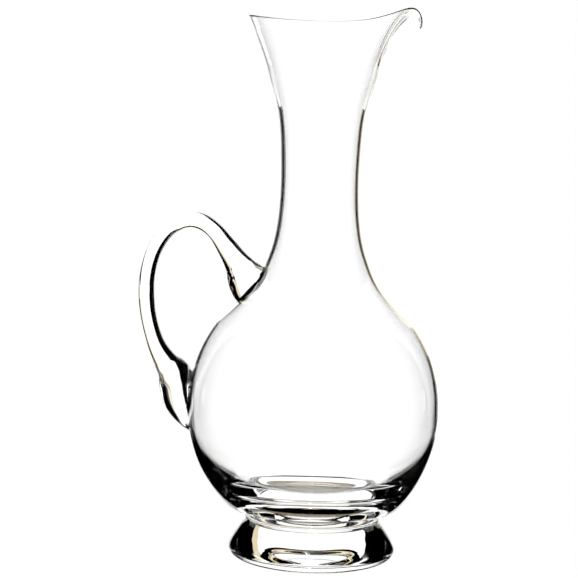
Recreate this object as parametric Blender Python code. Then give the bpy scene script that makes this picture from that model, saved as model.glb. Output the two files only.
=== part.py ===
"""Wine decanter of clear blown glass: a vessel with a pulled pouring lip, on an applied foot,
with an applied handle. Metres, +Z up, standing on Z = 0, with the pouring lip towards +X."""

from math import asin, copysign, cos, exp, pi, radians, sin

import bmesh
import bpy
import numpy as np
from mathutils import Vector

GAP = 0.0003  # between glass pieces that are fused on the real decanter

# Bowl: part of an ellipse turned about the vessel's axis. Below it the wall draws in faster, in
# (radius, height) steps, to the waist where the vessel stands on its foot.
BOWL_RADIUS = 0.0734
BOWL_HALF_HEIGHT = 0.0800
BOWL_CENTRE_Z = 0.0900
BOWL_LOW_Z = 0.0330
BOWL_TOP_Z = 0.1400
WAIST_RADIUS = 0.0376
WAIST_Z = 0.0226
UNDER_BOWL = [(WAIST_RADIUS, WAIST_Z), (0.0421, 0.0265), (0.0458, 0.0291)]

# Shoulder and neck: (radius, height) from above the bowl up to where the mouth starts to flare.
NECK = [
    (0.0464, 0.1500),
    (0.0362, 0.1620),
    (0.0300, 0.1750),
    (0.0256, 0.1900),
    (0.0234, 0.2100),
    (0.0234, 0.2350),
    (0.0254, 0.2600),
    (0.0318, 0.2850),
]

# Mouth: the rim is a ring of this radius and height, low at its sides.
RIM_RADIUS = 0.0436
RIM_SIDE_Z = 0.3132
RIM_END_RISE = 0.0022
RIM_SLOPE = radians(68)

# Pouring lip, pulled out of the rim at +X: how far it reaches past the ring, how far its very tip
# is tucked back, how high its two crests stand and how deep its trough is. Then the half widths of
# these about the vessel's axis, how wide the wall curls over, and how steeply the tip droops.
LIP_REACH = 0.0130
LIP_TUCK = 0.0022
LIP_CREST = 0.0100
LIP_TROUGH = 0.0146
LIP_REACH_ANGLE = radians(31)
LIP_TUCK_ANGLE = radians(6)
LIP_CREST_ANGLE = radians(38)
LIP_TROUGH_ANGLE = radians(12)
LIP_CURL_ANGLE = radians(17)
LIP_DROOP = radians(75)

# Glass thickness, even up to the neck and thinning from there to the rim, and the hollow inside
# the bowl: its floor, and how square its bottom corner is (2 would be an ellipse).
WALL = 0.0024
RIM_WALL = 0.0008
THINNING_Z = 0.2600
FLOOR_Z = 0.0330
HOLLOW_SQUARENESS = 2.4

# Foot: a solid turned piece, from the waist where it meets the vessel in a face that sags in the
# middle, down to its flat resting ring, with a ground recess inside the ring.
SEAM_SAG = 0.0050
FOOT_RADIUS = 0.0488
FOOT_WIDEST_Z = 0.0060
REST_OUTER_RADIUS = 0.0365
RECESS_RADIUS = 0.0220
RECESS_DEPTH = 0.0020
RECESS_FLATNESS = 4

# The hand-made foot sits this much off the vessel's axis, towards the lip, and the bowl's bottom
# leans over to it below this height.
FOOT_OFFSET = 0.0013
OFFSET_TOP_Z = 0.0600

# Handle: (x from the vessel's axis, z, half thickness, half width), from inside the shoulder,
# over the top, down the back, and along the bowl to the end of its tail.
HANDLE = [
    (-0.0300, 0.1540, 0.0135, 0.0130),
    (-0.0392, 0.1622, 0.0125, 0.0115),
    (-0.0464, 0.1728, 0.0078, 0.0085),
    (-0.0525, 0.1816, 0.0060, 0.0070),
    (-0.0598, 0.1910, 0.0048, 0.0064),
    (-0.0680, 0.1963, 0.0048, 0.0062),
    (-0.0770, 0.1968, 0.0047, 0.0060),
    (-0.0866, 0.1917, 0.0044, 0.0060),
    (-0.0943, 0.1800, 0.0043, 0.0060),
    (-0.0982, 0.1660, 0.0044, 0.0060),
    (-0.0987, 0.1520, 0.0046, 0.0060),
    (-0.0969, 0.1385, 0.0045, 0.0062),
    (-0.0926, 0.1245, 0.0050, 0.0065),
    (-0.0868, 0.1140, 0.0068, 0.0075),
    (-0.0812, 0.1060, 0.0100, 0.0085),
    (-0.0790, 0.0930, 0.0092, 0.0082),
    (-0.0764, 0.0848, 0.0070, 0.0070),
    (-0.0737, 0.0784, 0.0038, 0.0050),
    (-0.0708, 0.0740, 0.0012, 0.0020),
]
HANDLE_REACH = 0.1033

# How square the handle's section is (2 would be an ellipse, less comes to a ridge): along the
# limb, and in the tail, with the change between these two heights.
LIMB_SQUARENESS = 2.3
TAIL_SQUARENESS = 1.4
TAIL_TOP_Z = 0.1120
TAIL_LOW_Z = 0.1000

# Origin: the middle of the whole decanter's box, on the table. The vessel's axis is beside it.
AXIS_X = (HANDLE_REACH - BOWL_RADIUS) / 2

# Mesh fineness.
SEGMENTS = 48
BOWL_STEPS = 13
FLARE_STEPS = 6
HOLLOW_STEPS = 8
HANDLE_SIDES = 16
HANDLE_STEPS = 2


def glass(name, colour):
    """A clear glass material, slightly tinted."""
    material = bpy.data.materials.new(name)
    material.use_nodes = True
    shader = material.node_tree.nodes["Principled BSDF"]
    shader.inputs["Base Color"].default_value = (*colour, 1)
    shader.inputs["Metallic"].default_value = 0
    shader.inputs["Roughness"].default_value = 0.02
    shader.inputs["IOR"].default_value = 1.5
    shader.inputs["Transmission Weight"].default_value = 1
    return material


def smooth_through(points, steps):
    """Points along a smooth curve through the given ones (Catmull-Rom), this many steps a span."""
    p = np.array(points, float)
    p = np.vstack([2 * p[0] - p[1], p, 2 * p[-1] - p[-2]])
    curve = []
    for a, b, c, d in zip(p, p[1:], p[2:], p[3:]):
        for k in range(steps):
            u = k / steps
            slope_b = (c - a) / 2
            slope_c = (d - b) / 2
            curve.append(hermite(b, slope_b, c, slope_c, u))
    curve.append(p[-2])
    return np.array(curve)


def hermite(p0, m0, p1, m1, u):
    """The point at u, from 0 to 1, of the cubic from p0 to p1 with end slopes m0 and m1."""
    return (
        (2 * u**3 - 3 * u**2 + 1) * p0
        + (u**3 - 2 * u**2 + u) * m0
        + (3 * u**2 - 2 * u**3) * p1
        + (u**3 - u**2) * m1
    )


def outline():
    """(radius, height) up the outside of the vessel, from the waist to where the mouth flares."""
    low = asin((BOWL_LOW_Z - BOWL_CENTRE_Z) / BOWL_HALF_HEIGHT)
    high = asin((BOWL_TOP_Z - BOWL_CENTRE_Z) / BOWL_HALF_HEIGHT)
    angles = np.linspace(low, high, BOWL_STEPS + 1)
    bowl = [
        (BOWL_RADIUS * cos(a), BOWL_CENTRE_Z + BOWL_HALF_HEIGHT * sin(a)) for a in angles
    ]
    under = smooth_through(UNDER_BOWL + bowl[:1], 1)
    shoulder = smooth_through(bowl[-2:] + NECK, 2)[2:]
    return np.vstack([under[:-1], bowl[:-1], shoulder])


def bump(angle, width):
    """1 at no angle, falling smoothly to 0 over a few widths."""
    return exp(-((angle / width) ** 2))


def flare(angle, u, root, root_slope):
    """(radius, height) on the mouth at this angle from the pouring lip, u from 0 at its root to 1
    at the rim. Near the lip the wall bends over and droops."""
    curl = bump(angle, LIP_CURL_ANGLE)
    radius = RIM_RADIUS + LIP_REACH * bump(angle, LIP_REACH_ANGLE)
    radius -= LIP_TUCK * bump(angle, LIP_TUCK_ANGLE)
    height = RIM_SIDE_Z + RIM_END_RISE * cos(angle) ** 2
    height += LIP_CREST * bump(angle, LIP_CREST_ANGLE)
    height -= LIP_TROUGH * bump(angle, LIP_TROUGH_ANGLE)
    span = RIM_SIDE_Z - root[1]
    lean = RIM_SLOPE - (RIM_SLOPE + LIP_DROOP) * curl
    leaving = root_slope * span * (1 + 0.6 * curl)
    arriving = np.array((cos(lean), sin(lean))) * span * (1 + curl)
    return hermite(root, leaving, np.array((radius, height)), arriving, u)


def axis_x(z):
    """Where the centre of the turned shape is at this height."""
    up = min(1.0, max(0.0, (z - WAIST_Z) / (OFFSET_TOP_Z - WAIST_Z)))
    return AXIS_X + FOOT_OFFSET * (1 - up * up * (3 - 2 * up))


def ring(radius, z):
    """A level ring of points about the centre at its height."""
    return np.array(
        [
            (axis_x(z) + radius * cos(a), radius * sin(a), z)
            for a in np.linspace(0, 2 * pi, SEGMENTS, endpoint=False)
        ]
    )


def outer_wall():
    """Rings of points up the outside of the vessel, from the waist to the rim."""
    line = outline()
    rings = [ring(radius, z) for radius, z in line]
    root = line[-1]
    rise = line[-1] - line[-2]
    root_slope = rise / rise[1]
    for step in range(1, FLARE_STEPS + 1):
        points = []
        for a in np.linspace(0, 2 * pi, SEGMENTS, endpoint=False):
            from_lip = min(a, 2 * pi - a)
            radius, z = flare(from_lip, step / FLARE_STEPS, root, root_slope)
            points.append((AXIS_X + radius * cos(a), radius * sin(a), z))
        rings.append(np.array(points))
    return rings


def inward(rings):
    """Unit vectors pointing from the outer wall into the glass, at every point of every ring."""
    grid = np.array(rings)
    up = np.gradient(grid, axis=0)
    around = np.roll(grid, -1, axis=1) - np.roll(grid, 1, axis=1)
    normal = np.cross(up, around)
    return normal / np.linalg.norm(normal, axis=2, keepdims=True)


def wall_at(z):
    """How thick the wall is at this height: even up to the neck, then thinning to the rim."""
    up = min(1.0, max(0.0, (z - THINNING_Z) / (RIM_SIDE_Z - THINNING_Z)))
    return WALL + (RIM_WALL - WALL) * up * up * (3 - 2 * up)


def dome(steps, z_shift):
    """Rings of the shallow curved face where the vessel's bottom meets the foot, outwards."""
    rings = []
    for step in range(1, steps + 1):
        share = step / steps
        z = WAIST_Z - SEAM_SAG * (1 - share**2) + z_shift
        rings.append(ring(WAIST_RADIUS * share, z))
    return rings


def loft(name, rings, low_point, high_point, material):
    """A closed body through the rings, ending in a point at each end."""
    count = len(rings[0])
    points = [tuple(p) for r in rings for p in r] + [tuple(low_point), tuple(high_point)]
    low, high = len(points) - 2, len(points) - 1
    faces = []
    for row in range(len(rings) - 1):
        for j in range(count):
            k = (j + 1) % count
            a, b = row * count, (row + 1) * count
            faces.append((a + j, a + k, b + k, b + j))
    last = (len(rings) - 1) * count
    for j in range(count):
        k = (j + 1) % count
        faces.append((low, k, j))
        faces.append((high, last + j, last + k))
    mesh = bpy.data.meshes.new(name)
    mesh.from_pydata(points, [], faces)
    shaped = bmesh.new()
    shaped.from_mesh(mesh)
    bmesh.ops.recalc_face_normals(shaped, faces=shaped.faces)
    shaped.to_mesh(mesh)
    shaped.free()
    mesh.shade_smooth()
    mesh.set_sharp_from_angle(angle=radians(40))
    mesh.materials.append(material)
    piece = bpy.data.objects.new(name, mesh)
    bpy.context.scene.collection.objects.link(piece)
    return piece


def make_vessel():
    """The blown body: bowl, neck and flared mouth in one wall, thick at the bottom."""
    outer = outer_wall()
    into = inward(outer)
    widest = min(range(len(outer)), key=lambda i: abs(outer[i][0][2] - BOWL_CENTRE_Z))
    inner = []
    for i in range(len(outer) - 1, widest, -1):
        inner.append(outer[i] + into[i] * wall_at(outer[i][:, 2].mean()))
    lip_way = outer[-1] - outer[-2]
    lip_way /= np.linalg.norm(lip_way, axis=1, keepdims=True)
    lip = (outer[-1] + inner[0]) / 2 + lip_way * RIM_WALL / 2
    hollow = []
    power = HOLLOW_SQUARENESS
    for step in range(HOLLOW_STEPS):
        down = sin(pi / 2 * step / HOLLOW_STEPS)
        radius = (BOWL_RADIUS - WALL) * (1 - down**power) ** (1 / power)
        hollow.append(ring(radius, BOWL_CENTRE_Z - (BOWL_CENTRE_Z - FLOOR_Z) * down))
    bottom = dome(3, 0)[:-1]
    return loft(
        "vessel",
        bottom + outer + [lip] + inner + hollow,
        (axis_x(0), 0, WAIST_Z - SEAM_SAG),
        (axis_x(FLOOR_Z), 0, FLOOR_Z),
        glass("vessel_glass", (0.97, 0.98, 0.97)),
    )


def make_foot():
    """The applied foot: solid, spreading from the waist to a rounded edge, hollowed a little below."""
    top = dome(3, -GAP)
    flank = [
        (WAIST_RADIUS, WAIST_Z - GAP),
        (0.0412, 0.0195),
        (0.0447, 0.0145),
        (0.0475, 0.0098),
        (FOOT_RADIUS, FOOT_WIDEST_Z),
        (0.0467, 0.0028),
        (0.0430, 0.0010),
    ]
    sides = [ring(radius, z) for radius, z in smooth_through(flank, 2)[1:]]
    rest = [ring(REST_OUTER_RADIUS, 0), ring(RECESS_RADIUS, 0)]
    recess = []
    for share in (0.95, 0.85, 0.70, 0.45):
        recess.append(ring(RECESS_RADIUS * share, RECESS_DEPTH * (1 - share**RECESS_FLATNESS)))
    return loft(
        "foot",
        top + sides + rest + recess,
        (axis_x(0), 0, WAIST_Z - SEAM_SAG - GAP),
        (axis_x(0), 0, RECESS_DEPTH),
        glass("foot_glass", (0.96, 0.97, 0.95)),
    )


def keep_clear_of_vessel(piece):
    """Cuts the piece back to a small gap from the vessel's outside."""
    line = outline()
    along = np.gradient(line, axis=0)
    outward = np.stack([along[:, 1], -along[:, 0]], axis=1)
    outward /= np.linalg.norm(outward, axis=1, keepdims=True)
    rings = [ring(radius, z) for radius, z in line + outward * GAP]
    cutter = loft(
        "vessel_space",
        rings,
        (AXIS_X, 0, WAIST_Z),
        (AXIS_X, 0, line[-1][1]),
        piece.data.materials[0],
    )
    cutter.hide_render = True
    cutter.display_type = "WIRE"
    cut = piece.modifiers.new("fit against the vessel", "BOOLEAN")
    cut.operation = "DIFFERENCE"
    cut.solver = "EXACT"
    cut.object = cutter


def squared(share, z):
    """Turns a circle's sine or cosine into that of the handle's section at this height."""
    down = min(1.0, max(0.0, (TAIL_TOP_Z - z) / (TAIL_TOP_Z - TAIL_LOW_Z)))
    power = LIMB_SQUARENESS + (TAIL_SQUARENESS - LIMB_SQUARENESS) * down
    return copysign(abs(share) ** (2 / power), share)


def make_handle():
    """The applied handle: a pulled rod, spread at the shoulder and at the bowl."""
    line = smooth_through(HANDLE, HANDLE_STEPS)
    rings = []
    for i, (x, z, thick, wide) in enumerate(line):
        before, after = line[max(i - 1, 0)], line[min(i + 1, len(line) - 1)]
        way = Vector((after[0] - before[0], 0, after[1] - before[1])).normalized()
        across = Vector((-way.z, 0, way.x))
        centre = Vector((AXIS_X + x, 0, z))
        section = []
        for a in np.linspace(0, 2 * pi, HANDLE_SIDES, endpoint=False):
            out = across * thick * squared(cos(a), z)
            section.append(tuple(centre + out + Vector((0, wide * squared(sin(a), z), 0))))
        rings.append(np.array(section))
    ends = [(AXIS_X + line[i][0], 0, line[i][1]) for i in (0, -1)]
    handle = loft(
        "handle", rings, ends[0], ends[1], glass("handle_glass", (0.96, 0.97, 0.96))
    )
    keep_clear_of_vessel(handle)
    return handle


def main():
    for thing in list(bpy.data.objects):
        bpy.data.objects.remove(thing)
    make_vessel()
    make_foot()
    make_handle()


main()
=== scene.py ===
"""Looks of the clear glass wine decanter: its three fused pieces of glass with fine surfaces,
on a white set lit from behind the photograph's view. Metres, +Z up, the pouring lip towards +X."""

from math import asin, copysign, cos, exp, pi, radians, sin

import bmesh
import bpy
import numpy as np
from mathutils import Matrix, Vector


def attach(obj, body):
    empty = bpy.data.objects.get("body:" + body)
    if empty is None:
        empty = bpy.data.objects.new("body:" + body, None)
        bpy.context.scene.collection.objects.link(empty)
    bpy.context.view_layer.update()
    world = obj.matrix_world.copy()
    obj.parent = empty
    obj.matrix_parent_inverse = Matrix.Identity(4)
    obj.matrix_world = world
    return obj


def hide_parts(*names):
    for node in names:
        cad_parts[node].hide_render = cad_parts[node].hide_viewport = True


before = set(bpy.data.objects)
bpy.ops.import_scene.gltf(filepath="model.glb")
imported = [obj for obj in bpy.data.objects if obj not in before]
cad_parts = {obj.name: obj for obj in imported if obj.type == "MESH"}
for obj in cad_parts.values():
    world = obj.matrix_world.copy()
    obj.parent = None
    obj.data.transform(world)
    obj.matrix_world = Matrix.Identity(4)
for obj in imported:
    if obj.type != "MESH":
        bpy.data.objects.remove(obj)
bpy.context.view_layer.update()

# The decanter's design, as in the CAD model: (radius, height) pairs, or radii and heights.
BOWL_RADIUS = 0.0734
BOWL_HALF_HEIGHT = 0.0800
BOWL_CENTRE_Z = 0.0900
BOWL_LOW_Z = 0.0330
BOWL_TOP_Z = 0.1400
WAIST_RADIUS = 0.0376
WAIST_Z = 0.0226
UNDER_BOWL = [(WAIST_RADIUS, WAIST_Z), (0.0421, 0.0265), (0.0458, 0.0291)]
NECK = [
    (0.0464, 0.1500),
    (0.0362, 0.1620),
    (0.0300, 0.1750),
    (0.0256, 0.1900),
    (0.0234, 0.2100),
    (0.0234, 0.2350),
    (0.0254, 0.2600),
    (0.0318, 0.2850),
]
RIM_RADIUS = 0.0436
RIM_SIDE_Z = 0.3132
RIM_END_RISE = 0.0022
RIM_SLOPE = radians(68)

# Pouring lip.
LIP_REACH = 0.0130
LIP_TUCK = 0.0022
LIP_CREST = 0.0100
LIP_TROUGH = 0.0146
LIP_REACH_ANGLE = radians(31)
LIP_TUCK_ANGLE = radians(6)
LIP_CREST_ANGLE = radians(38)
LIP_TROUGH_ANGLE = radians(12)
LIP_CURL_ANGLE = radians(17)
LIP_DROOP = radians(75)
LIP_FULLNESS = 0.6

# Glass thickness, even up to the neck and thinning from there to the rim, and the hollow.
WALL = 0.0024
RIM_WALL = 0.0008
THINNING_Z = 0.2600
FLOOR_Z = 0.0330
HOLLOW_SQUARENESS = 2.4

# Foot.
SEAM_SAG = 0.0050
FOOT_RADIUS = 0.0488
FOOT_WIDEST_Z = 0.0060
REST_OUTER_RADIUS = 0.0365
RECESS_RADIUS = 0.0220
RECESS_DEPTH = 0.0020
RECESS_FLATNESS = 4
FOOT_OFFSET = 0.0013
OFFSET_TOP_Z = 0.0600
FLANK = [
    (WAIST_RADIUS, WAIST_Z),
    (0.0412, 0.0195),
    (0.0447, 0.0145),
    (0.0475, 0.0098),
    (FOOT_RADIUS, FOOT_WIDEST_Z),
    (0.0467, 0.0028),
    (0.0430, 0.0010),
    (REST_OUTER_RADIUS, 0),
]

# Handle: (x from the vessel's axis, z, half thickness, half width), and how square its section is
# (2 would be an ellipse): fuller along the limb, pinched to a ridge in the tail.
HANDLE = [
    (-0.0300, 0.1540, 0.0135, 0.0130),
    (-0.0392, 0.1622, 0.0125, 0.0115),
    (-0.0464, 0.1728, 0.0078, 0.0085),
    (-0.0525, 0.1816, 0.0060, 0.0070),
    (-0.0598, 0.1910, 0.0048, 0.0064),
    (-0.0680, 0.1963, 0.0048, 0.0062),
    (-0.0770, 0.1968, 0.0047, 0.0060),
    (-0.0866, 0.1917, 0.0044, 0.0060),
    (-0.0943, 0.1800, 0.0043, 0.0060),
    (-0.0982, 0.1660, 0.0044, 0.0060),
    (-0.0987, 0.1520, 0.0046, 0.0060),
    (-0.0969, 0.1385, 0.0045, 0.0062),
    (-0.0926, 0.1245, 0.0050, 0.0065),
    (-0.0868, 0.1140, 0.0068, 0.0075),
    (-0.0812, 0.1060, 0.0100, 0.0085),
    (-0.0790, 0.0930, 0.0092, 0.0082),
    (-0.0764, 0.0848, 0.0070, 0.0070),
    (-0.0737, 0.0784, 0.0038, 0.0050),
    (-0.0708, 0.0740, 0.0012, 0.0020),
]
LIMB_SQUARENESS = 2.3
TAIL_SQUARENESS = 1.4
TAIL_TOP_Z = 0.1120
TAIL_LOW_Z = 0.1000
HANDLE_REACH = 0.1033
AXIS_X = (HANDLE_REACH - BOWL_RADIUS) / 2

# Marks left by the glassmaker's tongs where the handle was pressed on: their places (x from the
# vessel's axis, z), how far they spread, how close together they are, and their depth as a share.
# Each is a coarse wave and a finer, weaker one, with this many lobes round the handle.
MARKS = [(-0.0440, 0.1650), (-0.0790, 0.1100)]
MARK_SPREAD = 0.0075
MARK_PITCH = 0.0042
MARK_SIZE = 0.02
MARK_LOBES = 5
FINE_MARK_SHARE = 0.6
FINE_MARK_LOBES = 3
FINE_MARK_LENGTH = 0.0011

# Mesh fineness.
SEGMENTS = 192
BOWL_STEPS = 56
CURVE_STEPS = 8
FLARE_STEPS = 44
HOLLOW_STEPS = 44
DOME_STEPS = 16
HANDLE_SIDES = 56
HANDLE_STEPS = 8
RECESS_STEPS = 24
LIP_STEPS = 8
WELD = 0.000002
CREASE = radians(12)

# Order of each piece's materials, each piece's tint and how strong its ripples are.
GLASS, SEAM = 0, 1
VESSEL_TINT = (0.985, 0.990, 0.985)
HANDLE_TINT = (0.960, 0.970, 0.950)
FOOT_TINT = (0.960, 0.970, 0.950)
VESSEL_RIPPLE = 0.10
HANDLE_RIPPLE = 0.35
FOOT_RIPPLE = 0.20

# The glass: its refraction, a slow drift of colour and polish, and low ripples drawn out upwards.
GLASS_IOR = 1.5
DRIFT_SCALE = 18
DRIFT_DETAIL = 2
PALEST_TINT = 0.6
DULLEST_POLISH = 0.012
RIPPLE_SCALE = 55
RIPPLE_DETAIL = 1
RIPPLE_STRETCH = (1, 1, 0.35)
RIPPLE_HEIGHT = 0.0005

# Camera: how far from the vessel's axis and how high, which way it turns, and its lens.
CAMERA_DISTANCE = 1.300
CAMERA_HEIGHT = 0.320
CAMERA_YAW = radians(0.708)
CAMERA_PITCH = radians(7.08)
CAMERA_ROLL = radians(1.633)
CAMERA_LENS = 140.57
CAMERA_NEAREST = 0.01

# The set, placed for the photograph's view and standing still: a lit strip of table that widens from
# the decanter to a lit wall behind it, with a dim warm patch under the foot; lit tables and black
# cards at the sides; warm panels beside and above the wall; a bright strip in front; and two narrow
# bright panels for glints. Distances are from the vessel's axis, away from the camera; widths are to
# either side.
TABLE_Z = -0.0002
STRIP_NEAR = 0.0
STRIP_NEAR_HALF = 0.06
STRIP_FAR_HALF = 0.38
TABLE_GLOW = 1.32
SHADE_HALF = 0.035
SHADE_NEAR = -0.012
SHADE_FAR = 0.035
SHADE_SIDES = 48
SHADE_GLOW = 0.25
SIDE_TABLE_FROM = 0.42
SIDE_TABLE_TO = 0.80
SIDE_TABLE_NEAR = 0.65
SIDE_TABLE_FAR = 1.30
SIDE_TABLE_GLOW = 1.2
CARD_FROM = (0.24, 0.46)
CARD_TO = (0.44, 0.26)
CARD_TOP = 0.12
WALL_DISTANCE = 1.00
WALL_TOP = 0.58
WALL_GLOW = 1.32
WARM_SIDE_TO = 0.52
WARM_SIDE_GLOW = 0.9
WARM_ABOVE_LOW = 0.70
WARM_ABOVE_HIGH = 1.40
WARM_ABOVE_DISTANCE = 0.75
WARM_ABOVE_GLOW = 1.2
FRONT_DISTANCE = -1.9
FRONT_HALF = 0.03
FRONT_LOW = 0.2
FRONT_HIGH = 1.6
FRONT_GLOW = 12.0
GLINT_FROM = 0.75
GLINT_TO = 0.78
GLINT_DISTANCE = 0.40
GLINT_TOP = 0.12
GLINT_GLOW = 3.0
FLOOR_HALF = 6.0
FLOOR_GLOW = 1
WHITE = (1, 1, 1)
CREAM = (1.0, 0.86, 0.60)

# Light bounces: through the glass, and off its surfaces.
GLASS_BOUNCES = 32
SURFACE_BOUNCES = 16


def smooth_through(points, steps):
    """Points along a smooth curve through the given ones (Catmull-Rom), this many steps a span."""
    p = np.array(points, float)
    p = np.vstack([2 * p[0] - p[1], p, 2 * p[-1] - p[-2]])
    curve = []
    for a, b, c, d in zip(p, p[1:], p[2:], p[3:]):
        for k in range(steps):
            curve.append(hermite(b, (c - a) / 2, c, (d - b) / 2, k / steps))
    curve.append(p[-2])
    return np.array(curve)


def hermite(p0, m0, p1, m1, u):
    """The point at u, from 0 to 1, of the cubic from p0 to p1 with end slopes m0 and m1."""
    return (
        (2 * u**3 - 3 * u**2 + 1) * p0
        + (u**3 - 2 * u**2 + u) * m0
        + (3 * u**2 - 2 * u**3) * p1
        + (u**3 - u**2) * m1
    )


def outline():
    """(radius, height) up the outside of the vessel, from the waist to where the mouth flares."""
    low = asin((BOWL_LOW_Z - BOWL_CENTRE_Z) / BOWL_HALF_HEIGHT)
    high = asin((BOWL_TOP_Z - BOWL_CENTRE_Z) / BOWL_HALF_HEIGHT)
    angles = np.linspace(low, high, BOWL_STEPS + 1)
    bowl = [
        (BOWL_RADIUS * cos(a), BOWL_CENTRE_Z + BOWL_HALF_HEIGHT * sin(a)) for a in angles
    ]
    under = smooth_through(UNDER_BOWL + bowl[:1], CURVE_STEPS)
    shoulder = smooth_through(bowl[-2:] + NECK, CURVE_STEPS)[CURVE_STEPS:]
    return np.vstack([under[:-1], bowl[:-1], shoulder])


def bump(angle, width):
    """1 at no angle, falling smoothly to 0 over a few widths."""
    return exp(-((angle / width) ** 2))


def flare(angle, u, root, root_slope):
    """(radius, height) on the mouth at this angle from the pouring lip, u from 0 at its root to 1
    at the rim. Near the lip the wall bends over and droops."""
    curl = bump(angle, LIP_CURL_ANGLE)
    radius = RIM_RADIUS + LIP_REACH * bump(angle, LIP_REACH_ANGLE)
    radius -= LIP_TUCK * bump(angle, LIP_TUCK_ANGLE)
    height = RIM_SIDE_Z + RIM_END_RISE * cos(angle) ** 2
    height += LIP_CREST * bump(angle, LIP_CREST_ANGLE)
    height -= LIP_TROUGH * bump(angle, LIP_TROUGH_ANGLE)
    span = RIM_SIDE_Z - root[1]
    lean = RIM_SLOPE - (RIM_SLOPE + LIP_DROOP) * curl
    leaving = root_slope * span * (1 + LIP_FULLNESS * curl)
    arriving = np.array((cos(lean), sin(lean))) * span * (1 + curl)
    return hermite(root, leaving, np.array((radius, height)), arriving, u)


def share_of(z, start, end):
    """How far z has got from start to end: 0 before it, 1 beyond it."""
    return min(1.0, max(0.0, (z - start) / (end - start)))


def eased(z, start, end):
    """The same, starting and ending gently."""
    share = share_of(z, start, end)
    return share * share * (3 - 2 * share)


def axis_x(z):
    """Where the centre of the turned shape is at this height."""
    return AXIS_X + FOOT_OFFSET * (1 - eased(z, WAIST_Z, OFFSET_TOP_Z))


def ring(radius, z):
    """A level ring of points about the centre at its height."""
    angles = np.linspace(0, 2 * pi, SEGMENTS, endpoint=False)
    x = axis_x(z) + radius * np.cos(angles)
    return np.stack([x, radius * np.sin(angles), np.full(SEGMENTS, z)], axis=1)


def mouth(root, root_slope):
    """Rings of points from the root of the flare to the rim."""
    rings = []
    for step in range(1, FLARE_STEPS + 1):
        points = []
        for a in np.linspace(0, 2 * pi, SEGMENTS, endpoint=False):
            from_lip = min(a, 2 * pi - a)
            radius, z = flare(from_lip, step / FLARE_STEPS, root, root_slope)
            points.append((AXIS_X + radius * cos(a), radius * sin(a), z))
        rings.append(np.array(points))
    return rings


def inward(rings):
    """Unit vectors pointing from the outer wall into the glass, at every point of every ring."""
    grid = np.array(rings)
    up = np.gradient(grid, axis=0)
    around = np.roll(grid, -1, axis=1) - np.roll(grid, 1, axis=1)
    normal = np.cross(up, around)
    return normal / np.linalg.norm(normal, axis=2, keepdims=True)


def wall_at(z):
    """How thick the wall is at this height: even up to the neck, then thinning to the rim."""
    return WALL + (RIM_WALL - WALL) * eased(z, THINNING_Z, RIM_SIDE_Z)


def dome():
    """Rings of the shallow curved face where the vessel's bottom meets the foot, outwards."""
    shares = np.arange(1, DOME_STEPS + 1) / DOME_STEPS
    return [ring(WAIST_RADIUS * s, WAIST_Z - SEAM_SAG * (1 - s**2)) for s in shares]


def skin(shape, rings, material):
    """Faces between rings of points, all of one material. Gives back each ring's vertices."""
    rows = [[shape.verts.new(p) for p in points] for points in rings]
    for lower, upper in zip(rows, rows[1:]):
        for j in range(len(lower)):
            k = (j + 1) % len(lower)
            face = shape.faces.new((lower[j], lower[k], upper[k], upper[j]))
            face.material_index = material
    return rows


def fan(shape, row, point, material):
    """Faces that close a ring of vertices to a point."""
    tip = shape.verts.new(point)
    for j in range(len(row)):
        face = shape.faces.new((row[j - 1], row[j], tip))
        face.material_index = material


def piece_of(name, shape, materials):
    """An object with this shape, closed at its seams and facing outwards."""
    bmesh.ops.remove_doubles(shape, verts=shape.verts, dist=WELD)
    bmesh.ops.recalc_face_normals(shape, faces=shape.faces)
    for face in shape.faces:
        face.smooth = True
    for edge in shape.edges:
        sides = {face.material_index for face in edge.link_faces}
        if len(sides) > 1 and edge.calc_face_angle(0) > CREASE:
            edge.smooth = False
    mesh = bpy.data.meshes.new(name)
    shape.to_mesh(mesh)
    shape.free()
    for material in materials:
        mesh.materials.append(material)
    piece = bpy.data.objects.new(name, mesh)
    bpy.context.scene.collection.objects.link(piece)
    return piece


def boolean(one, other, operation):
    """The mesh of one object combined with another, each face keeping its own material."""
    change = one.modifiers.new("fuse", "BOOLEAN")
    change.operation = operation
    change.solver = "EXACT"
    change.material_mode = "TRANSFER"
    change.object = other
    graph = bpy.context.evaluated_depsgraph_get()
    mesh = bpy.data.meshes.new_from_object(one.evaluated_get(graph))
    one.modifiers.remove(change)
    return mesh


def faces_of(mesh, material):
    """The part of a mesh that has this material, as a bmesh."""
    index = list(mesh.materials).index(material)
    shape = bmesh.new()
    shape.from_mesh(mesh)
    others = [face for face in shape.faces if face.material_index != index]
    bmesh.ops.delete(shape, geom=others, context="FACES")
    return shape


def add(shape, extra, material):
    """Adds one bmesh's faces to another, all of one material, and frees it."""
    made = {v: shape.verts.new(v.co) for v in extra.verts}
    for face in extra.faces:
        new = shape.faces.new([made[v] for v in face.verts])
        new.material_index = material
    extra.free()


def squared(share, z):
    """Turns a circle's sine or cosine into that of the handle's section at this height: full and
    squarish along the limb, pinched to a ridge in the tail."""
    down = share_of(z, TAIL_TOP_Z, TAIL_LOW_Z)
    power = LIMB_SQUARENESS + (TAIL_SQUARENESS - LIMB_SQUARENESS) * down
    return copysign(abs(share) ** (2 / power), share)


def tong_marks(x, z, angle):
    """How far the handle's surface is pressed in or raised here, as a factor close to 1."""
    near = sum(bump(np.hypot(x - mx, z - mz), MARK_SPREAD) for mx, mz in MARKS)
    coarse = sin(2 * pi * z / MARK_PITCH) * cos(MARK_LOBES * angle)
    fine = FINE_MARK_SHARE * sin(FINE_MARK_LOBES * angle + z / FINE_MARK_LENGTH)
    return 1 + MARK_SIZE * near * (coarse + fine)


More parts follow.
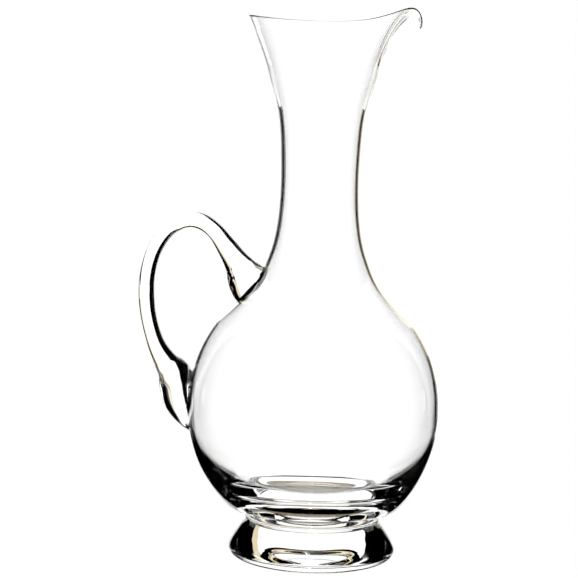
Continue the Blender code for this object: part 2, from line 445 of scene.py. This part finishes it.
def handle_rings():
    """Oval rings along the handle, from inside the shoulder to the end of its tail."""
    line = smooth_through(HANDLE, HANDLE_STEPS)
    rings = []
    for i, (x, z, thick, wide) in enumerate(line):
        before, after = line[max(i - 1, 0)], line[min(i + 1, len(line) - 1)]
        way = Vector((after[0] - before[0], 0, after[1] - before[1])).normalized()
        across = Vector((-way.z, 0, way.x))
        centre = Vector((AXIS_X + x, 0, z))
        section = []
        for a in np.linspace(0, 2 * pi, HANDLE_SIDES, endpoint=False):
            size = tong_marks(x, z, a)
            out = across * thick * size * squared(cos(a), z)
            section.append(centre + out + Vector((0, wide * size * squared(sin(a), z), 0)))
        rings.append(section)
    return rings


def make_vessel_and_handle():
    """The blown vessel and the handle fused to it, with one shared face between them."""
    line = outline()
    sides = [ring(radius, z) for radius, z in line]
    rise = line[-1] - line[-2]
    flared = mouth(line[-1], rise / rise[1])
    outer = sides + flared
    into = inward(outer)
    widest = int(np.argmin(np.abs(line[:, 1] - BOWL_CENTRE_Z)))
    inner = []
    for i in range(len(outer) - 1, widest, -1):
        inner.append(outer[i] + into[i] * wall_at(outer[i][:, 2].mean()))
    lip_way = outer[-1] - outer[-2]
    lip_way /= np.linalg.norm(lip_way, axis=1, keepdims=True)
    lips = []
    for angle in np.linspace(0, pi, LIP_STEPS + 1)[1:-1]:
        middle = (outer[-1] + inner[0]) / 2
        across = (outer[-1] - inner[0]) / 2
        lips.append(middle + across * cos(angle) + lip_way * RIM_WALL / 2 * sin(angle))
    hollow = []
    power = HOLLOW_SQUARENESS
    for step in range(HOLLOW_STEPS):
        down = sin(pi / 2 * step / HOLLOW_STEPS)
        radius = (BOWL_RADIUS - WALL) * (1 - down**power) ** (1 / power)
        hollow.append(ring(radius, BOWL_CENTRE_Z - (BOWL_CENTRE_Z - FLOOR_Z) * down))

    # Stand-ins for the Boolean, with a material each so that their faces can be told apart.
    outside = bpy.data.materials.new("outside")
    caps = bpy.data.materials.new("caps")
    rod = bpy.data.materials.new("rod")
    shape = bmesh.new()
    rows = skin(shape, sides, 0)
    fan(shape, rows[0], (AXIS_X, 0, WAIST_Z), 1)
    fan(shape, rows[-1], (AXIS_X, 0, line[-1][1]), 1)
    solid = piece_of("solid", shape, [outside, caps])
    shape = bmesh.new()
    rows = skin(shape, handle_rings(), 0)
    fan(shape, rows[0], (AXIS_X + HANDLE[0][0], 0, HANDLE[0][1]), 0)
    fan(shape, rows[-1], (AXIS_X + HANDLE[-1][0], 0, HANDLE[-1][1]), 0)
    raw = piece_of("raw", shape, [rod])
    united = boolean(solid, raw, "UNION")
    trimmed = boolean(raw, solid, "DIFFERENCE")

    seam = fused_seam()
    shape = bmesh.new()
    rows = skin(shape, dome(), SEAM)
    fan(shape, rows[0], (axis_x(0), 0, WAIST_Z - SEAM_SAG), SEAM)
    rows = skin(shape, [sides[-1]] + flared + lips + inner + hollow, GLASS)
    fan(shape, rows[-1], (axis_x(FLOOR_Z), 0, FLOOR_Z), GLASS)
    add(shape, faces_of(united, outside), GLASS)
    add(shape, faces_of(trimmed, outside), SEAM)
    vessel = piece_of(
        "blown_vessel", shape, [glass("vessel_glass", VESSEL_TINT, VESSEL_RIPPLE), seam]
    )
    shape = bmesh.new()
    add(shape, faces_of(trimmed, rod), GLASS)
    add(shape, faces_of(trimmed, outside), SEAM)
    handle = piece_of(
        "drawn_handle", shape, [glass("handle_glass", HANDLE_TINT, HANDLE_RIPPLE), seam]
    )
    for thing in (solid, raw):
        bpy.data.objects.remove(thing)
    return vessel, handle


def make_foot():
    """The applied foot: solid, spreading from the waist to a rounded edge, hollowed a little below."""
    shape = bmesh.new()
    rows = skin(shape, dome(), SEAM)
    fan(shape, rows[0], (axis_x(0), 0, WAIST_Z - SEAM_SAG), SEAM)
    sides = [ring(radius, max(z, 0)) for radius, z in smooth_through(FLANK, CURVE_STEPS)]
    recess = []
    for share in np.linspace(1, 0, RECESS_STEPS, endpoint=False):
        recess.append(ring(RECESS_RADIUS * share, RECESS_DEPTH * (1 - share**RECESS_FLATNESS)))
    rows = skin(shape, sides + recess, GLASS)
    fan(shape, rows[-1], (axis_x(0), 0, RECESS_DEPTH), GLASS)
    return piece_of(
        "solid_foot", shape, [glass("foot_glass", FOOT_TINT, FOOT_RIPPLE), fused_seam()]
    )


def glass(name, tint, ripple):
    """Clear hand-made glass: faint colour drift, soft ripples and a fire-polished surface."""
    material = bpy.data.materials.new(name)
    material.use_nodes = True
    nodes, links = material.node_tree.nodes, material.node_tree.links
    shader = nodes["Principled BSDF"]
    shader.inputs["Metallic"].default_value = 0
    shader.inputs["IOR"].default_value = GLASS_IOR
    shader.inputs["Transmission Weight"].default_value = 1
    place = nodes.new("ShaderNodeTexCoord")
    drift = nodes.new("ShaderNodeTexNoise")
    drift.inputs["Scale"].default_value = DRIFT_SCALE
    drift.inputs["Detail"].default_value = DRIFT_DETAIL
    links.new(place.outputs["Object"], drift.inputs["Vector"])
    colour = nodes.new("ShaderNodeMix")
    colour.data_type = "RGBA"
    colour.inputs["A"].default_value = (*tint, 1)
    colour.inputs["B"].default_value = (*[c**PALEST_TINT for c in tint], 1)
    links.new(drift.outputs["Fac"], colour.inputs["Factor"])
    links.new(colour.outputs["Result"], shader.inputs["Base Color"])
    polish = nodes.new("ShaderNodeMapRange")
    polish.inputs["To Min"].default_value = 0.0
    polish.inputs["To Max"].default_value = DULLEST_POLISH
    links.new(drift.outputs["Fac"], polish.inputs["Value"])
    links.new(polish.outputs["Result"], shader.inputs["Roughness"])
    stretch = nodes.new("ShaderNodeMapping")
    stretch.inputs["Scale"].default_value = RIPPLE_STRETCH
    links.new(place.outputs["Object"], stretch.inputs["Vector"])
    waves = nodes.new("ShaderNodeTexNoise")
    waves.inputs["Scale"].default_value = RIPPLE_SCALE
    waves.inputs["Detail"].default_value = RIPPLE_DETAIL
    links.new(stretch.outputs["Vector"], waves.inputs["Vector"])
    ripples = nodes.new("ShaderNodeBump")
    ripples.inputs["Strength"].default_value = ripple
    ripples.inputs["Distance"].default_value = RIPPLE_HEIGHT
    links.new(waves.outputs["Fac"], ripples.inputs["Height"])
    links.new(ripples.outputs["Normal"], shader.inputs["Normal"])
    return material


def fused_seam():
    """The inside face where two pieces of glass are fused: light goes straight through."""
    found = bpy.data.materials.get("fused_seam")
    if found:
        return found
    material = bpy.data.materials.new("fused_seam")
    material.use_nodes = True
    nodes, links = material.node_tree.nodes, material.node_tree.links
    nodes.remove(nodes["Principled BSDF"])
    clear = nodes.new("ShaderNodeBsdfTransparent")
    links.new(clear.outputs["BSDF"], nodes["Material Output"].inputs["Surface"])
    return material


def glow(name, strength, colour):
    """A plain surface that gives light."""
    material = bpy.data.materials.new(name)
    material.use_nodes = True
    nodes, links = material.node_tree.nodes, material.node_tree.links
    nodes.remove(nodes["Principled BSDF"])
    light = nodes.new("ShaderNodeEmission")
    light.inputs["Color"].default_value = (*colour, 1)
    light.inputs["Strength"].default_value = strength
    links.new(light.outputs["Emission"], nodes["Material Output"].inputs["Surface"])
    return material


def panel(name, corners, strength, colour=WHITE):
    """A flat part of the set, glowing softly."""
    mesh = bpy.data.meshes.new(name)
    mesh.from_pydata(corners, [], [tuple(range(len(corners)))])
    mesh.materials.append(glow(name, strength, colour))
    flat = bpy.data.objects.new(name, mesh)
    bpy.context.scene.collection.objects.link(flat)
    return flat


def level(half_near, near, half_far, far, z):
    """The corners of a level panel across the view, narrower or wider at its far end."""
    return [(-half_near, near, z), (half_near, near, z), (half_far, far, z), (-half_far, far, z)]


def oval(half, near, far, z):
    """Points round a level oval across the view."""
    angles = np.linspace(0, 2 * pi, SHADE_SIDES, endpoint=False)
    middle, reach = (near + far) / 2, (far - near) / 2
    return [(half * cos(a), middle + reach * sin(a), z) for a in angles]


def upright(x0, x1, y, low, high):
    """The corners of a standing panel across the view."""
    return [(x0, y, low), (x1, y, low), (x1, y, high), (x0, y, high)]


def make_camera():
    data = bpy.data.cameras.new("camera")
    data.lens = CAMERA_LENS
    data.clip_start = CAMERA_NEAREST
    camera = bpy.data.objects.new("camera", data)
    bpy.context.scene.collection.objects.link(camera)
    camera.matrix_world = (
        Matrix.Translation((AXIS_X, -CAMERA_DISTANCE, CAMERA_HEIGHT))
        @ Matrix.Rotation(CAMERA_YAW, 4, "Z")
        @ Matrix.Rotation(pi / 2 - CAMERA_PITCH, 4, "X")
        @ Matrix.Rotation(CAMERA_ROLL, 4, "Z")
    )
    bpy.context.scene.camera = camera


def make_set():
    """A plain white floor and background, and behind the decanter a lit strip of table and wall
    that only the glass sees. They stand still, placed for the photograph's view, so from the back
    and the sides the glass sees little light and turns dark."""
    whole = level(FLOOR_HALF, -FLOOR_HALF, FLOOR_HALF, FLOOR_HALF, 2 * TABLE_Z)
    floor = panel("floor", whole, FLOOR_GLOW)
    floor.visible_transmission = False
    floor.visible_glossy = False
    world = bpy.data.worlds.new("white background")
    world.use_nodes = True
    world.node_tree.nodes["Background"].inputs["Color"].default_value = (1, 1, 1, 1)
    bpy.context.scene.world = world
    world.cycles_visibility.transmission = False
    world.cycles_visibility.glossy = False

    strip = level(STRIP_NEAR_HALF, STRIP_NEAR, STRIP_FAR_HALF, WALL_DISTANCE, TABLE_Z)
    shade = oval(SHADE_HALF, SHADE_NEAR, SHADE_FAR, TABLE_Z / 2)
    side_table = [
        (SIDE_TABLE_FROM, SIDE_TABLE_NEAR, TABLE_Z),
        (SIDE_TABLE_TO, SIDE_TABLE_NEAR, TABLE_Z),
        (SIDE_TABLE_TO, SIDE_TABLE_FAR, TABLE_Z),
        (SIDE_TABLE_FROM, SIDE_TABLE_FAR, TABLE_Z),
    ]
    card = [
        (*CARD_FROM, TABLE_Z),
        (*CARD_TO, TABLE_Z),
        (*CARD_TO, CARD_TOP),
        (*CARD_FROM, CARD_TOP),
    ]
    wall = upright(-STRIP_FAR_HALF, STRIP_FAR_HALF, WALL_DISTANCE, TABLE_Z, WALL_TOP)
    warm_side = upright(STRIP_FAR_HALF, WARM_SIDE_TO, WALL_DISTANCE, TABLE_Z, WALL_TOP)
    warm_above = upright(
        -STRIP_FAR_HALF, STRIP_FAR_HALF, WARM_ABOVE_DISTANCE, WARM_ABOVE_LOW, WARM_ABOVE_HIGH
    )
    front = upright(-FRONT_HALF, FRONT_HALF, FRONT_DISTANCE, FRONT_LOW, FRONT_HIGH)
    glint = upright(GLINT_FROM, GLINT_TO, GLINT_DISTANCE, TABLE_Z, GLINT_TOP)
    lit = [
        panel("table_strip", strip, TABLE_GLOW),
        panel("foot_shade", shade, SHADE_GLOW, CREAM),
        panel("right_table", side_table, SIDE_TABLE_GLOW),
        panel("left_table", mirrored(side_table), SIDE_TABLE_GLOW),
        panel("right_black_card", card, 0),
        panel("left_black_card", mirrored(card), 0),
        panel("back_wall", wall, WALL_GLOW),
        panel("warm_side", warm_side, WARM_SIDE_GLOW, CREAM),
        panel("warm_above", warm_above, WARM_ABOVE_GLOW, CREAM),
        panel("front_strip", front, FRONT_GLOW),
        panel("right_glint", glint, GLINT_GLOW),
        panel("left_glint", mirrored(glint), GLINT_GLOW),
    ]
    set_middle = bpy.data.objects.new("set_middle", None)
    set_middle.location = (AXIS_X, 0, 0)
    bpy.context.scene.collection.objects.link(set_middle)
    for flat in lit:
        flat.parent = set_middle
        flat.visible_camera = False


def mirrored(corners):
    """The same panel on the other side of the view."""
    return [(-x, y, z) for x, y, z in corners]


def render_as_glass():
    """Enough light bounces for thick glass, plain colours, and noise cleaned by the picture alone,
    since what the denoiser sees through glass is itself noisy."""
    scene = bpy.context.scene
    scene.cycles.max_bounces = GLASS_BOUNCES
    scene.cycles.transmission_bounces = GLASS_BOUNCES
    scene.cycles.glossy_bounces = SURFACE_BOUNCES
    scene.cycles.transparent_max_bounces = SURFACE_BOUNCES
    scene.cycles.use_denoising = True
    scene.cycles.denoising_input_passes = "RGB"
    scene.view_settings.view_transform = "Standard"


make_camera()
make_set()
render_as_glass()
vessel, handle = make_vessel_and_handle()
foot = make_foot()
for piece, node in ((vessel, "vessel"), (handle, "handle"), (foot, "foot")):
    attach(piece, "root")
    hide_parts(node)
